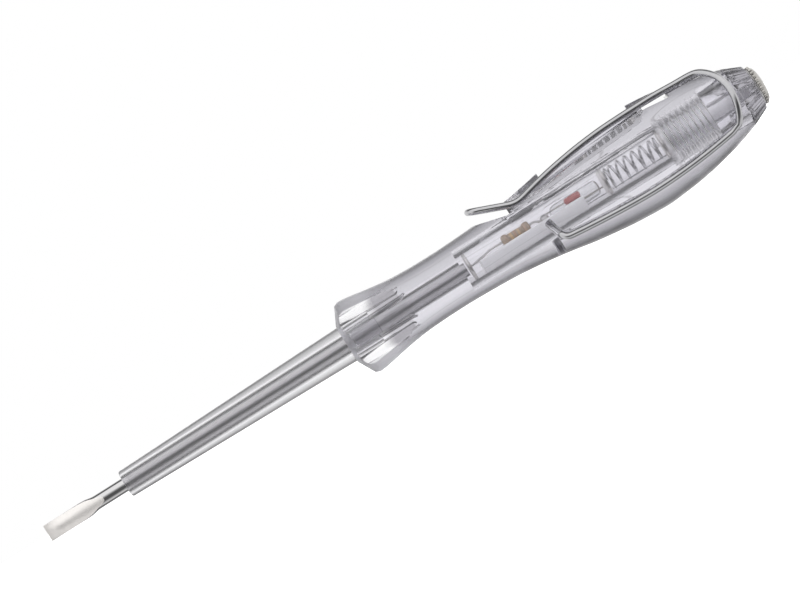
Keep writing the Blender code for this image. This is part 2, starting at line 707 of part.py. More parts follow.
def glow_lamp(start, glass, electrode_skin, wire_metal):
    """Solder joint, glass tube and two electrodes; returns where the lamp's rear wire ends."""
    joint_front = start + FIT_GAP / 2 - SOLDER_JOINT_LENGTH / 2
    joint_end = joint_front + SOLDER_JOINT_LENGTH
    hole = LEAD_RADIUS + FIT_GAP
    turned("solder_joint",
           [(joint_front, hole), (joint_front, SOLDER_JOINT_RADIUS), (joint_end, SOLDER_JOINT_RADIUS),
            (joint_end, hole)], SMALL_SIDES, wire_metal)

    front = joint_end + FIT_GAP
    end = front + LAMP_LENGTH
    inner = LAMP_RADIUS - LAMP_WALL
    neck = LAMP_RADIUS
    turned("lamp_glass",
           [(front, hole), (front, hole + LAMP_WALL), (front + neck, LAMP_RADIUS), (end - neck, LAMP_RADIUS),
            (end, hole + LAMP_WALL), (end, hole), (end - neck, inner), (front + neck, inner)],
           SMALL_SIDES, glass)

    middle = (front + end) / 2
    reach = ELECTRODE_LENGTH / 2
    rise = ELECTRODE_SPACING / 2
    wire_end = end + 2 * FIT_GAP
    tube("lamp_electrode_front",
         [(start + FIT_GAP, 0.0, 0.0), (middle - reach - rise * 2, 0.0, 0.0), (middle - reach, 0.0, rise),
          (middle + reach, 0.0, rise)], ELECTRODE_RADIUS, 1, electrode_skin)
    tube("lamp_electrode_rear",
         [(wire_end, 0.0, 0.0), (middle + reach + rise * 2, 0.0, 0.0), (middle + reach, 0.0, -rise),
          (middle - reach, 0.0, -rise)], ELECTRODE_RADIUS, 1, electrode_skin)
    return wire_end


def contact_spring(skin):
    """Coil spring between the two discs, each end straight for one wire diameter; prints its least gap."""
    front = spring_front()
    end = front + SPRING_LENGTH
    points_per_turn = 9
    radius = MAIN_BORE_RADIUS - FIT_GAP - 2 * SPRING_WIRE_RADIUS
    straight = 2 * SPRING_WIRE_RADIUS
    steps = SPRING_TURNS * points_per_turn
    run = end - front - 2 * straight
    points = [Vector((front, radius, 0.0))]
    for step in range(steps + 1):
        angle = math.tau * step / points_per_turn
        x = front + straight + run * step / steps
        points.append(Vector((x, radius * math.cos(angle), radius * math.sin(angle))))
    points.append(Vector((end, points[-1].y, points[-1].z)))
    apart = points_per_turn // 2
    least = min((a - b).length for i, a in enumerate(points) for b in points[i + apart:])
    print(f"contact_spring least gap to itself {least - 2 * SPRING_WIRE_RADIUS:.5f} m")
    tube("contact_spring", points, SPRING_WIRE_RADIUS, 1, skin)


def main():
    clear_scene()
    clear_plastic = material("clear_plastic", (0.80, 0.80, 0.84), 0.08, alpha=0.35)
    clear_cap = material("clear_cap", (0.72, 0.72, 0.78), 0.12, alpha=0.45)
    clear_sleeve = material("clear_sleeve", (0.84, 0.84, 0.87), 0.10, alpha=0.35)
    steel = material("steel", (0.62, 0.61, 0.60), 0.30, metallic=1.0)
    spring_steel = material("spring_steel", (0.55, 0.55, 0.56), 0.22, metallic=1.0)
    nickel = material("nickel", (0.66, 0.64, 0.58), 0.30, metallic=1.0)
    tinned_wire = material("tinned_wire", (0.70, 0.70, 0.70), 0.35, metallic=1.0)
    milky_plastic = material("milky_plastic", (0.92, 0.92, 0.93), 0.45)
    resistor_coat = material("resistor_coat", (0.76, 0.62, 0.44), 0.45)
    lamp_glass = material("lamp_glass", (0.90, 0.92, 0.93), 0.03, alpha=0.30)
    electrode = material("electrode", (0.80, 0.20, 0.16), 0.45)

    blade(steel)
    blade_sleeve(clear_sleeve)
    handle_body(clear_plastic)
    end_cap(clear_cap)
    touch_contact(nickel)
    clip_wires(spring_steel)
    bore_disc("tail_contact", disc_front(), CONTACT_DISC_THICKNESS, nickel)
    component_carrier(milky_plastic)
    lead_end = resistor(resistor_coat, resistor_coat, tinned_wire)
    lamp_wire_end = glow_lamp(lead_end, lamp_glass, electrode, tinned_wire)
    bore_disc("spring_plate", lamp_wire_end + FIT_GAP, SPRING_PLATE_THICKNESS, nickel)
    bore_disc("spring_seat", seat_front(), SEAT_THICKNESS, nickel)
    contact_spring(spring_steel)


main()
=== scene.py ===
"""Looks of a voltage tester screwdriver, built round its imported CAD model.

The frame's X axis runs back along the tool from the tip of its blade, and its Z axis points out of the side
that carries the pocket clip. Lengths are in metres.
"""
import math

import bmesh
import bpy
from mathutils import Matrix, Vector


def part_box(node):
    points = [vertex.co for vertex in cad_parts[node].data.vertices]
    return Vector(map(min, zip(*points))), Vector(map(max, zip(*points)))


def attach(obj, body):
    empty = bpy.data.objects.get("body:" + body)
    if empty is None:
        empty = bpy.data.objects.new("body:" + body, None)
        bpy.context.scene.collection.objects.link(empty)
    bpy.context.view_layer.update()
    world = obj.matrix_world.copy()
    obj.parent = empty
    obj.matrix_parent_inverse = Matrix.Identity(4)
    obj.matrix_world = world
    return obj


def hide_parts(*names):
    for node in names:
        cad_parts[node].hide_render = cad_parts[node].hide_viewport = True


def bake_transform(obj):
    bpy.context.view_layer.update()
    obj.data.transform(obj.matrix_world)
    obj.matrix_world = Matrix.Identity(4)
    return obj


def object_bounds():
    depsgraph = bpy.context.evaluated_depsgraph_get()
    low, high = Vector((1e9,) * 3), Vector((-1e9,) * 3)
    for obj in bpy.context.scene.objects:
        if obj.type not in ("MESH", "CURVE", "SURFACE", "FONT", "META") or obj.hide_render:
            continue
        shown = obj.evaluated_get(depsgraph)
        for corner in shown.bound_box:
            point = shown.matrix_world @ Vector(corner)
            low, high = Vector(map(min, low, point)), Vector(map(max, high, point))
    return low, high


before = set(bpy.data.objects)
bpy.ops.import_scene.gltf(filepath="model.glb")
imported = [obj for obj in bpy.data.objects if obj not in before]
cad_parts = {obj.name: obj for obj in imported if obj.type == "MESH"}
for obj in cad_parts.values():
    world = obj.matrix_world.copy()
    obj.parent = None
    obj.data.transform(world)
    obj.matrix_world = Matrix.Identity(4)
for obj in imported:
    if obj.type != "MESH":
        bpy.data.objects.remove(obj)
cad_low, cad_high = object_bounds()
bpy.context.scene.view_settings.view_transform = "Standard"

# Camera
# The photograph looks straight at the tool's side through a long lens. The tool rises to the right, and the
# picture is 136 mm wide where it lies.
tool_rise = math.radians(32.3)
view_width = 0.1356
view_centre = Vector((0.0716, 0.0, 0.00157))
lens_mm = 150
sensor_mm = 36

picture_right = Vector((math.cos(tool_rise), 0, -math.sin(tool_rise)))
picture_up = Vector((math.sin(tool_rise), 0, math.cos(tool_rise)))
towards_lens = picture_right.cross(picture_up)
turn = Matrix((picture_right, picture_up, towards_lens)).transposed()
bpy.ops.object.camera_add(
    location=view_centre + towards_lens * view_width * lens_mm / sensor_mm, rotation=turn.to_euler()
)
camera = bpy.context.object
camera.data.lens = lens_mm
camera.data.sensor_width = sensor_mm
camera.data.clip_start = cad_high.x / 100
camera.data.clip_end = cad_high.x * 100
bpy.context.scene.camera = camera


# Studio
# A pale floor just under the handle, white all round for the lens, and three soft lamps. What metal and clear
# plastic mirror is a room with a dark band in front and a bright wall behind, between dark floor and ceiling.
class Signal:
    """A shader socket that can stand in a Python sum: each operator adds one Math node."""

    def __init__(self, tree, socket):
        self.tree = tree
        self.socket = socket

    def maths(self, operation, *terms):
        node = self.tree.nodes.new("ShaderNodeMath")
        node.operation = operation
        for entry, term in zip(node.inputs, terms):
            plug(self.tree, entry, term)
        return Signal(self.tree, node.outputs[0])

    def __add__(self, other):
        return self.maths("ADD", self, other)

    def __radd__(self, other):
        return self.maths("ADD", other, self)

    def __sub__(self, other):
        return self.maths("SUBTRACT", self, other)

    def __rsub__(self, other):
        return self.maths("SUBTRACT", other, self)

    def __mul__(self, other):
        return self.maths("MULTIPLY", self, other)

    def __rmul__(self, other):
        return self.maths("MULTIPLY", other, self)

    def __truediv__(self, other):
        return self.maths("DIVIDE", self, other)

    def __pow__(self, other):
        return self.maths("POWER", self, other)

    def size(self):
        return self.maths("ABSOLUTE", self)

    def larger(self, other):
        return self.maths("MAXIMUM", self, other)

    def within(self, low, high):
        """How far the value has come from low to high, from 0 to 1."""
        node = self.tree.nodes.new("ShaderNodeMapRange")
        for name, value in (("Value", self), ("From Min", low), ("From Max", high)):
            plug(self.tree, node.inputs[name], value)
        return Signal(self.tree, node.outputs[0])


def plug(tree, entry, value):
    """Feed a node's input with a link or with a plain value."""
    if isinstance(value, Signal):
        tree.links.new(value.socket, entry)
    else:
        entry.default_value = value


class Nodes:
    """A node tree with one way to add any node to it."""

    def __init__(self, tree):
        self.tree = tree

    def add(self, kind, settings=None, inputs=None, output=0):
        """Add a node: its settings first, then the values or links of its sockets."""
        node = self.tree.nodes.new("ShaderNode" + kind)
        for name, value in (settings or {}).items():
            if name == "stops":
                for element, (place, _) in zip(node.color_ramp.elements, value):
                    element.position = place
                for place, _ in value[2:]:
                    node.color_ramp.elements.new(place)
                for element, (_, colour) in zip(node.color_ramp.elements, value):
                    element.color = colour
            else:
                setattr(node, name, value)
        for name, value in (inputs or {}).items():
            plug(self.tree, node.inputs[name], value)
        if node.outputs:
            return Signal(self.tree, node.outputs[output])

    def parts_of(self, vector):
        node = self.tree.nodes.new("ShaderNodeSeparateXYZ")
        plug(self.tree, node.inputs[0], vector)
        return [Signal(self.tree, socket) for socket in node.outputs]

    def blend(self, share, first, second):
        """A colour mixed from two, by share."""
        return self.add("MixRGB", None, {"Fac": share, "Color1": first, "Color2": second})


def grey(level):
    return (level, level, level, 1)


front_room = [
    (0.00, grey(0.75)), (0.07, grey(0.95)), (0.16, grey(0.82)), (0.24, grey(0.44)), (0.31, grey(0.11)),
    (0.49, grey(0.11)), (0.57, grey(0.46)), (0.65, grey(1.05)), (0.96, grey(1.15)), (1.00, grey(0.90)),
]
back_room = [
    (0.00, grey(0.13)), (0.06, grey(0.15)), (0.14, grey(0.56)), (0.28, grey(0.84)), (0.50, grey(1.04)),
    (0.68, grey(1.08)), (0.84, grey(0.62)), (0.92, grey(0.13)), (1.00, grey(0.10)),
]
world = bpy.data.worlds.new("studio")
bpy.context.scene.world = world
world.use_nodes = True
world.node_tree.nodes.clear()
air = Nodes(world.node_tree)
along_tool, away, height = air.parts_of(air.add("TexCoord"))
floor_to_ceiling = height / 2 + 0.5
front = air.add("ValToRGB", {"stops": front_room}, {"Fac": floor_to_ceiling})
back = air.add("ValToRGB", {"stops": back_room}, {"Fac": floor_to_ceiling})
side_blend_shares = (-0.04, 0.12)
end_blend_shares = (0.60, 0.90)
far_blend_shares = (0.955, 0.985)
room = air.blend(away.within(*side_blend_shares), front, back)
room = air.blend(along_tool.size().within(*end_blend_shares), room, grey(1.00))
room = air.blend(away.within(*far_blend_shares), room, grey(1.05))
lit_room = air.add("Background", None, {"Color": room})
white_room = air.add("Background", None, {"Color": grey(1)})
seen = air.add("LightPath", output=0)
sky = air.add("MixShader", None, {0: seen, 1: lit_room, 2: white_room})
air.add("OutputWorld", None, {"Surface": sky})

floor_gap = 0.0001
floor_size = 3.0
floor_glow = 0.93
bpy.ops.object.select_all(action="DESELECT")
bpy.ops.mesh.primitive_circle_add(
    vertices=64, radius=floor_size, fill_type="NGON", location=(cad_high.x / 2, 0, cad_low.z - floor_gap)
)
floor = bpy.context.object
floor.name = "floor"
paper = bpy.data.materials.new("pale_paper")
paper.use_nodes = True
paper.node_tree.nodes.clear()
sheet = Nodes(paper.node_tree)
matt = sheet.add("BsdfDiffuse", None, {"Color": grey(0.85)})
seen = sheet.add("LightPath", output=0)
own_light = sheet.add("Emission", None, {"Color": grey(floor_glow), "Strength": seen})
lit_sheet = sheet.add("AddShader", None, {0: matt, 1: own_light})
clear = sheet.add("BsdfTransparent")
from_below = sheet.add("NewGeometry", output=6)
one_sided = sheet.add("MixShader", None, {0: from_below * seen, 1: lit_sheet, 2: clear})
sheet.add("OutputMaterial", None, {"Surface": one_sided})
floor.data.materials.append(paper)
floor.visible_glossy = False
floor.visible_transmission = False

lamp_reach = 0.6
for name, side, lift, long, wide, watts in (
    ("top_lamp", -0.35, 0.94, 0.9, 0.25, 2.2),
    ("front_lamp", -0.97, 0.24, 0.5, 0.5, 2.1),
    ("rear_lamp", 0.8, 0.6, 0.6, 0.2, 0.8),
):
    spot = Vector((cad_high.x / 2, side * lamp_reach, lift * lamp_reach))
    bpy.ops.object.light_add(type="AREA", location=spot)
    lamp = bpy.context.object
    lamp.name = name
    aim = Vector((cad_high.x / 2, 0, 0)) - spot
    lamp.rotation_euler = aim.to_track_quat("-Z", "X").to_euler()
    lamp.data.shape = "RECTANGLE"
    lamp.data.size = wide
    lamp.data.size_y = long
    lamp.data.energy = watts
    lamp.visible_camera = False
    lamp.visible_glossy = False
    lamp.visible_transmission = False


# Blade
# One rod of hardened steel, forged wider in front and ground flat on both sides to a dull satin. Its tail is
# pressed into the handle. It is polished where it stands out bare, and left as drawn under its sleeve.
mm_in_metre = 1000


class Finish(Nodes):
    """A material in the making, on one Principled shader."""

    def __init__(self, name, **entries):
        self.material = bpy.data.materials.new(name)
        self.material.use_nodes = True
        super().__init__(self.material.node_tree)
        self.shader = self.tree.nodes["Principled BSDF"]
        self.feed(**entries)

    def feed(self, **entries):
        """Set or link the shader's sockets, by their names in lower case with underscores."""
        sockets = {socket.name.lower().replace(" ", "_"): socket for socket in self.shader.inputs}
        for name, value in entries.items():
            plug(self.tree, sockets[name], value)

    def fed(self, name):
        """What feeds one of the shader's sockets so far."""
        return Signal(self.tree, self.shader.inputs[name].links[0].from_socket)

    def place(self):
        """Object coordinates along X, Y and Z, in metres."""
        return self.parts_of(self.add("TexCoord", output=3))

    def grain(self, scale, detail, across=(1, 1, 1), roughness=0.5):
        """Noise from 0 to 1, scale times across cells to the millimetre."""
        coords = self.add("TexCoord", output=3)
        stretch = [mm_in_metre * share for share in across]
        place_mm = self.add("Mapping", None, {"Vector": coords, "Scale": stretch})
        return self.add("TexNoise", None, {
            "Vector": place_mm, "Scale": scale, "Detail": detail, "Roughness": roughness,
        })

    def bump(self, height, depth_mm):
        """A normal from a height between 0 and 1, times a depth in millimetres."""
        depth = depth_mm / mm_in_metre
        return self.add("Bump", None, {"Height": height, "Strength": 1.0, "Distance": depth})


weld = 0.0000002
crease = math.radians(32)


def draw(name, points, closed=True):
    """A new object, left in edit mode, whose vertices are the points, joined in turn by edges."""
    bpy.ops.object.select_all(action="DESELECT")
    bpy.ops.mesh.primitive_plane_add(location=(0, 0, 0))
    made = bpy.context.object
    made.name = made.data.name = name
    bpy.ops.object.mode_set(mode="EDIT")
    bpy.ops.mesh.merge(type="CENTER")
    bpy.ops.transform.translate(value=points[0])
    for here, there in zip(points, points[1:]):
        bpy.ops.mesh.extrude_vertices_move(TRANSFORM_OT_translate={"value": there - here})
    if closed:
        bpy.ops.mesh.select_all(action="DESELECT")
        for vertex in bmesh.from_edit_mesh(made.data).verts:
            vertex.select = len(vertex.link_edges) == 1
        bpy.ops.mesh.edge_face_add()
    bpy.ops.mesh.select_all(action="SELECT")
    return made


def close_up(made, sharp=crease):
    """Weld the mesh, turn its faces outwards, leave edit mode and shade it smooth up to its creases."""
    bpy.ops.mesh.select_all(action="SELECT")
    bpy.ops.mesh.remove_doubles(threshold=weld)
    bpy.ops.mesh.normals_make_consistent(inside=False)
    bpy.ops.object.mode_set(mode="OBJECT")
    bpy.ops.object.shade_smooth_by_angle(angle=sharp)
    return made


def turned(name, outline, sides, closed=True):
    """A solid turned about the tool's axis from an outline of (place, radius) points."""
    made = draw(name, [Vector((x, 0, radius)) for x, radius in outline], closed)
    bpy.ops.mesh.spin(steps=sides, angle=math.tau, center=(0, 0, 0), axis=(1, 0, 0))
    return close_up(made)


def slab(name, outline, depth, across=(0, 1, 0)):
    """A flat solid from an outline in the plane square to across, as thick as depth along it."""
    through = Vector(across)
    upwards = Vector((0, 0, 1)) if through.y else Vector((0, 1, 0))
    made = draw(name, [Vector((x, 0, 0)) + upwards * high - through * depth / 2 for x, high in outline])
    bpy.ops.mesh.edge_face_add()
    bpy.ops.mesh.extrude_region_move(TRANSFORM_OT_translate={"value": through * depth})
    return close_up(made)


def cut(piece, *tools, operation="DIFFERENCE"):
    """Cut the piece with each tool in turn, or join each to it, and take the tools away."""
    for tool in tools:
        step = piece.modifiers.new(tool.name, "BOOLEAN")
        step.operation = operation
        step.object = tool
        bpy.context.view_layer.objects.active = piece
        bpy.ops.object.modifier_apply(modifier=step.name)
        bpy.data.objects.remove(tool)


def dress(piece, finish, slot, body, *nodes):
    """Give a finished piece its material and its body, and hide the nodes that it stands for. The slot is not
    used.
    """
    piece.data.materials.clear()
    piece.data.materials.append(finish.material)
    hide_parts(*nodes)
    if body:
        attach(piece, body)


blade_low, blade_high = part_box("blade")
shank_radius = 0.00125
tip_thickness = 0.0005
tip_parallel = 0.0030
tip_wide_end = 0.0077
tip_neck_end = 0.0100
tip_flat_end = 0.0114
blade_sides = 96

tip_widening = blade_high.z / shank_radius
stations = [(blade_low.x, 0), (blade_low.x, shank_radius), (tip_wide_end, shank_radius)]
neck_steps = 8
for step in range(1, neck_steps + 1):
    stations.append((tip_wide_end + (tip_neck_end - tip_wide_end) * step / neck_steps, shank_radius))
stations += [(blade_high.x, shank_radius), (blade_high.x, 0)]
blade = turned("steel_blade", stations, blade_sides, closed=False)
bpy.ops.object.mode_set(mode="EDIT")
cage = bmesh.from_edit_mesh(blade.data)
for x in sorted({x for x, _ in stations if x < tip_neck_end}):
    bpy.ops.mesh.select_all(action="DESELECT")
    for vertex in cage.verts:
        vertex.select = abs(vertex.co.x - x) < weld
    cage.select_flush(True)
    share = min(max((x - tip_wide_end) / (tip_neck_end - tip_wide_end), 0), 1)
    ease_share = (1 - math.cos(math.pi * share)) / 2
    widening = tip_widening + (1 - tip_widening) * ease_share
    bpy.ops.transform.resize(value=(1, 1, widening), center_override=(x, 0, 0))
    cage = bmesh.from_edit_mesh(blade.data)
bpy.ops.object.mode_set(mode="OBJECT")
overrun = 0.001
grind_steps = 16
grind = [(-overrun, tip_thickness / 2)]
for step in range(grind_steps + 1):
    share = step / grind_steps
    thickening = (shank_radius - tip_thickness / 2) * share ** 2
    grind.append((tip_parallel + (tip_flat_end - tip_parallel) * share, tip_thickness / 2 + thickening))
grind += [(tip_flat_end, 2 * shank_radius), (-overrun, 2 * shank_radius)]
for side in (-1, 1):
    wheel = slab("grind_wheel", [(x, side * high) for x, high in grind], 4 * shank_radius, across=(0, 0, 1))
    cut(blade, wheel)

steel = Finish("tool_steel")
x, y = steel.place()[:2]
grind_skin = 0.000012
grind_blur = 0.00001
grind_fade_share = 0.98
reach = x.within(tip_parallel, tip_flat_end)
grind_height = tip_thickness / 2 + (shank_radius - tip_thickness / 2) * reach ** 2
ground = (y.size() - grind_height).within(-grind_skin, grind_blur - grind_skin)
ground = ground * (1 - (x / tip_flat_end).within(grind_fade_share, 1))
drawn = steel.grain(1.0, 3.0, across=(0.25, 9, 9))
cross = steel.grain(1.0, 3.0, across=(22, 1.2, 1.2))
cloud = steel.grain(0.6, 4.0)
sleeve_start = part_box("blade_sleeve")[0].x
covered = x.within(sleeve_start, sleeve_start + overrun)
polished = steel.blend(drawn, (0.64, 0.635, 0.64, 1), (0.80, 0.79, 0.79, 1))
matt_drawn = steel.blend(drawn, (0.48, 0.475, 0.48, 1), (0.64, 0.635, 0.64, 1))
bright = steel.blend(covered, polished, matt_drawn)
satin = steel.blend(cross * 0.7 + cloud * 0.3, (0.80, 0.77, 0.745, 1), (0.93, 0.905, 0.88, 1))
steel.feed(
    base_color=steel.blend(ground, bright, satin), metallic=1 - ground * 0.16,
    roughness=0.06 + covered * 0.215 + drawn * 0.05 + ground * (0.32 + cross * 0.14),
    normal=steel.bump(cross * ground, 0.006),
)
dress(blade, steel, "steel", "handle", "blade")


# Blade sleeve
# A clear moulded plastic tube, pressed over the rod. It tapers towards the tip, and its rear end is a thinner
# spigot that plugs into the front of the handle.
def arc(centre, radius, start, end, steps):
    """Points (place, height) along an arc, with its angles in degrees from +X towards up."""
    found = []
    for step in range(steps + 1):
        angle = math.radians(start + (end - start) * step / steps)
        found.append((centre[0] + radius * math.cos(angle), centre[1] + radius * math.sin(angle)))
    return found


sleeve_low, sleeve_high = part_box("blade_sleeve")
handle_low, handle_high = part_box("handle_body")
press_gap = 0.00004
sleeve_front_radius = 0.00245
sleeve_rear_radius = 0.0033
spigot_radius = 0.0026
edge_radius = 0.0003
sleeve_bore = shank_radius + press_gap
shoulder = handle_low.x - press_gap
nose_middle = (sleeve_low.x + edge_radius, sleeve_front_radius - edge_radius)
nose = arc(nose_middle, edge_radius, start=180, end=97, steps=6)
sleeve = turned(
    "clear_sleeve",
    [(sleeve_low.x, sleeve_bore + edge_radius / 2), *nose, (shoulder, sleeve_rear_radius),
     (shoulder, spigot_radius), (sleeve_high.x, spigot_radius), (sleeve_high.x, sleeve_bore),
     (sleeve_low.x + edge_radius / 2, sleeve_bore)],
    sides=96,
)


def clear_plastic(name, tint, haze, roughness, wear=0.06, relief=0.02):
    """Clear plastic: faint flow lines along the tool, fine scuffs, and a little milk in the mass."""
    plastic = Finish(name, ior=1.49, transmission_weight=1 - haze)
    flow = plastic.grain(1.0, 3.0, across=(0.06, 0.9, 0.9))
    scuff = plastic.grain(3.0, 5.0, roughness=0.65)
    dark = tuple(level * 0.96 for level in tint)
    plastic.feed(
        base_color=plastic.blend(flow, (*dark, 1), (*tint, 1)),
        roughness=roughness + scuff.within(0.45, 0.8) * wear,
        normal=plastic.bump(flow * 0.8 + scuff * 0.08, relief),
    )
    return plastic


sleeve_plastic = clear_plastic(
    "sleeve_plastic", tint=(0.89, 0.885, 0.905), haze=0.02, roughness=0.005, wear=0.005, relief=0.001
)
dress(sleeve, sleeve_plastic, "clear_sleeve", "handle", "blade_sleeve")
sleeve.visible_shadow = False

# Handle
# One turned grip of clear plastic, with flutes and a clip recess milled in, bored through and tapped behind.
# The rear part of its flutes' floors is tinted grey, as painted shade. The collar's crests and chamfer and
# the tapped thread are frosted.
handle_sides = 128
belly = cad_high.y
handle_length = handle_high.x - handle_low.x
outline_shares = [
    (0.030, 0.751), (0.042, 0.746), (0.065, 0.718), (0.091, 0.678), (0.117, 0.643), (0.142, 0.614),
    (0.168, 0.595), (0.193, 0.584), (0.219, 0.577), (0.270, 0.574), (0.321, 0.586), (0.373, 0.608),
    (0.424, 0.646), (0.475, 0.701), (0.526, 0.772), (0.577, 0.854), (0.629, 0.917), (0.680, 0.966),
    (0.731, 0.994), (0.757, 1.000), (0.782, 0.988), (0.834, 0.947), (0.885, 0.878), (0.936, 0.783),
    (0.974, 0.688), (1.000, 0.616),
]


def along(share):
    """A place along the handle, from its share of the handle's length."""
    return handle_low.x + share * handle_length


def smooth_line(points, steps):
    """Points along a smooth curve that passes through the given ones."""
    spots = [Vector(point) for point in points]
    spots = [2 * spots[0] - spots[1], *spots, 2 * spots[-1] - spots[-2]]
    found = [spots[1]]
    for before, start, end, after in zip(spots, spots[1:], spots[2:], spots[3:]):
        for step in range(1, steps + 1):
            share = step / steps
            squared = (2 * before - 5 * start + 4 * end - after) * share ** 2
            cubed = (3 * start - before - 3 * end + after) * share ** 3
            found.append((2 * start + (end - before) * share + squared + cubed) / 2)
    return found


def handle_radius(x):
    """The handle's outer radius at a place along the tool."""
    share = (x - handle_low.x) / handle_length
    for (share_0, high_0), (share_1, high_1) in zip(outline_shares, outline_shares[1:]):
        if share <= share_1:
            passed_share = max(share - share_0, 0)
            return belly * (high_0 + (high_1 - high_0) * passed_share / (share_1 - share_0))
    return belly * outline_shares[-1][1]


def outer(share, radius_share):
    return along(share), radius_share * belly


chamfer_shares = [(0, 0.389), (0.020, 0.715)]
outside = [outer(*shares) for shares in chamfer_shares]
outside += [tuple(point) for point in smooth_line([outer(*shares) for shares in outline_shares], steps=3)]
disc_low, disc_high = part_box("tail_contact")
plug_low, plug_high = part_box("end_cap")
main_bore = 0.0026
rear_bore = 0.00285
plain_bore = 0.0033
disc_room = 0.0011
plug_room = 0.0010
thread_length = 0.0082
bore_start = disc_low.x - disc_room
rear_start = plug_low.x - plug_room
thread_end = plug_low.x + thread_length
bores = [
    (handle_high.x, plain_bore), (thread_end, plain_bore), (thread_end, rear_bore), (rear_start, rear_bore),
    (rear_start, main_bore), (bore_start, main_bore), (bore_start, sleeve_bore),
    (sleeve_high.x + press_gap, sleeve_bore),
    (sleeve_high.x + press_gap, spigot_radius + press_gap), (handle_low.x, spigot_radius + press_gap),
]
handle = turned("clear_handle", outside + bores, handle_sides)

flute_rise = math.radians(30)
flute_radius = 0.0020
flute_floor = 0.0049
flute_length = 0.0134
flute_end = handle_low.x + flute_length
bar_outline = [(handle_low.x - overrun, 0), (handle_low.x - overrun, flute_radius)]
bar_outline += arc((flute_end - flute_radius, 0), flute_radius, start=90, end=0, steps=8)
flute_lift = Matrix.Translation((0, 0, flute_floor + flute_radius))
for side in (-1, 1):
    for level in (-1, 1):
        bar = turned("flute_bar", bar_outline, sides=48, closed=False)
        flute_turn = side * (math.pi / 2 - level * flute_rise)
        bar.data.transform(Matrix.Rotation(flute_turn, 4, "X") @ flute_lift)
        cut(handle, bar)

wire_radius = 0.0006
leg_spacing = 0.0036
wire_gap = 0.0003
under_wire = wire_radius + wire_gap
far_side = belly + overrun
arm_shares = [
    (0.9424, 0.808), (0.896, 0.830), (0.845, 0.854), (0.796, 0.854), (0.755, 0.851), (0.704, 0.838),
    (0.645, 0.795), (0.589, 0.730), (0.545, 0.662), (0.512, 0.601), (0.480, 0.535), (0.471, 0.530),
]


def arm_height(share):
    """Height of the spring arm's middle over the axis at a share of the handle's length."""
    for (share_1, high_1), (share_0, high_0) in zip(arm_shares, arm_shares[1:]):
        if share >= share_0:
            passed_share = min(share, share_1) - share_0
            return belly * (high_0 + (high_1 - high_0) * passed_share / (share_1 - share_0))
    return belly * arm_shares[-1][1]


recess_shares = {"front": 0.366, "ramp_end": 0.441, "rib_front": 0.449, "rib_low": 0.544, "rib_high": 0.785}
slot_shares = [(0.812, 0.735), (0.873, 0.675)]
recess_end_share = 0.960
rear_floor = 0.565 * belly
rib_half = leg_spacing / 2 - under_wire
front_x = along(recess_shares["front"])
ramp_x = along(recess_shares["ramp_end"])
recess_floor = arm_shares[-1][1] * belly - under_wire
slope = (handle_radius(front_x) - recess_floor) / (ramp_x - front_x)
slot_floor = [(along(share), high * belly) for share, high in slot_shares]
ledge = [(along(share), arm_height(share) - under_wire) for share in (slot_shares[-1][0], recess_end_share)]
recess_outline = [
    (front_x - overrun, handle_radius(front_x) + slope * overrun), (ramp_x, recess_floor),
    (along(arm_shares[-3][0]), recess_floor), (along(recess_shares["rib_high"]), rear_floor),
    *slot_floor, *ledge, (ledge[-1][0], far_side), (front_x - overrun, far_side),
]
recess = slab("recess", recess_outline, 2 * far_side)
low_share, high_share = recess_shares["rib_low"], recess_shares["rib_high"]
between_shares = sorted(share for share, _ in arm_shares if low_share < share < high_share)
rib_low = [(along(share), arm_height(share)) for share in (low_share, *between_shares, high_share)]
rib_top = far_side + overrun
rib_front = along(recess_shares["rib_front"])
rib_end = ledge[-1][0] + overrun
rib = slab(
    "rib",
    [(rib_front, recess_floor - overrun), (rib_end, recess_floor - overrun), (rib_end, rib_top),
     (rib_low[-1][0], rib_top), *reversed(rib_low), (rib_low[0][0], rib_top), (rib_front, rib_top)],
    2 * rib_half,
)
cut(recess, rib)
cut(handle, recess)
slot_outline = [(x, z + press_gap) for x, z in slot_floor]
slot_outline += [(x, arm_height(share) - wire_radius)
                 for (x, _), (share, _) in zip(reversed(slot_floor), reversed(slot_shares))]
cut(handle, slab("rib_slot", slot_outline, 2 * (rib_half + press_gap)))


def rounded(back, corner, front, bend, steps=8):
    """Points round a corner between two others, over a length of bend on both sides of it."""
    start = corner + (back - corner).normalized() * bend
    end = corner + (front - corner).normalized() * bend
    points = []
    for step in range(steps + 1):
        share = step / steps
        points.append(start * (1 - share) ** 2 + corner * 2 * share * (1 - share) + end * share ** 2)
    return points


def bent_wire(name, points, radius, roundness=4):
    """A round wire along the points, as a mesh with closed ends. Its sides grow in number with roundness."""
    bpy.ops.object.select_all(action="DESELECT")
    bpy.ops.curve.primitive_nurbs_path_add(location=(0, 0, 0))
    made = bpy.context.object
    made.name = made.data.name = name
    bpy.ops.object.mode_set(mode="EDIT")
    bpy.ops.curve.select_all(action="SELECT")
    bpy.ops.curve.spline_type_set(type="POLY")
    bpy.ops.object.mode_set(mode="OBJECT")
    line = made.data.splines[0]
    line.points.add(len(points) - len(line.points))
    for knot, point in zip(line.points, points):
        knot.co = (*point, 1)
    made.data.bevel_depth = radius
    made.data.bevel_resolution = roundness
    made.data.use_fill_caps = True
    bpy.ops.object.convert(target="MESH")
    bpy.ops.object.mode_set(mode="EDIT")
    return close_up(made)


